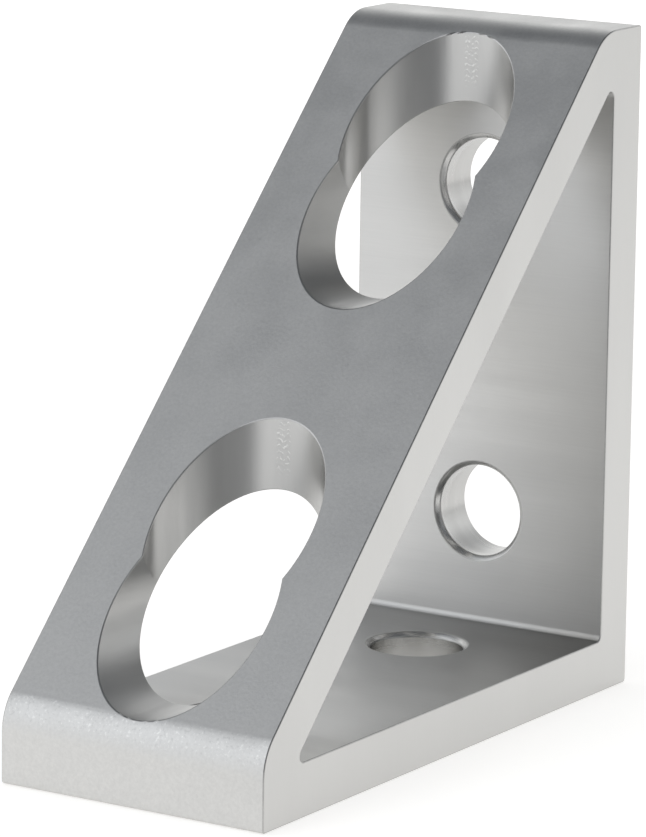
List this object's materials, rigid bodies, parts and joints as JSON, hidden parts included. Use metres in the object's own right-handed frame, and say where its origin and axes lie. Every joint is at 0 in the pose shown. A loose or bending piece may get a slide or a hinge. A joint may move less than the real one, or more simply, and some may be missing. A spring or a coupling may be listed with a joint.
{
  "type": "t slot corner bracket",
  "caption": "Hollow triangular corner bracket cut from aluminium section, with bolt holes in both legs and lobed access openings through its sloping wall.",
  "frame": {"origin": "on the outer corner line of the bracket, at the middle of its width, where the planes of the base face and the back face meet", "axes": "+X along the base leg to the toe, +Z along the back leg to the top, Y across the width"},
  "size_m": [0.0508, 0.0222, 0.0508],
  "materials": {
    "aluminium": "blasted outside, sawn at the two cut ends, as extruded inside"
  },
  "bodies": {
    "root": {"bracket": "aluminium"}
  },
  "joints": []
}
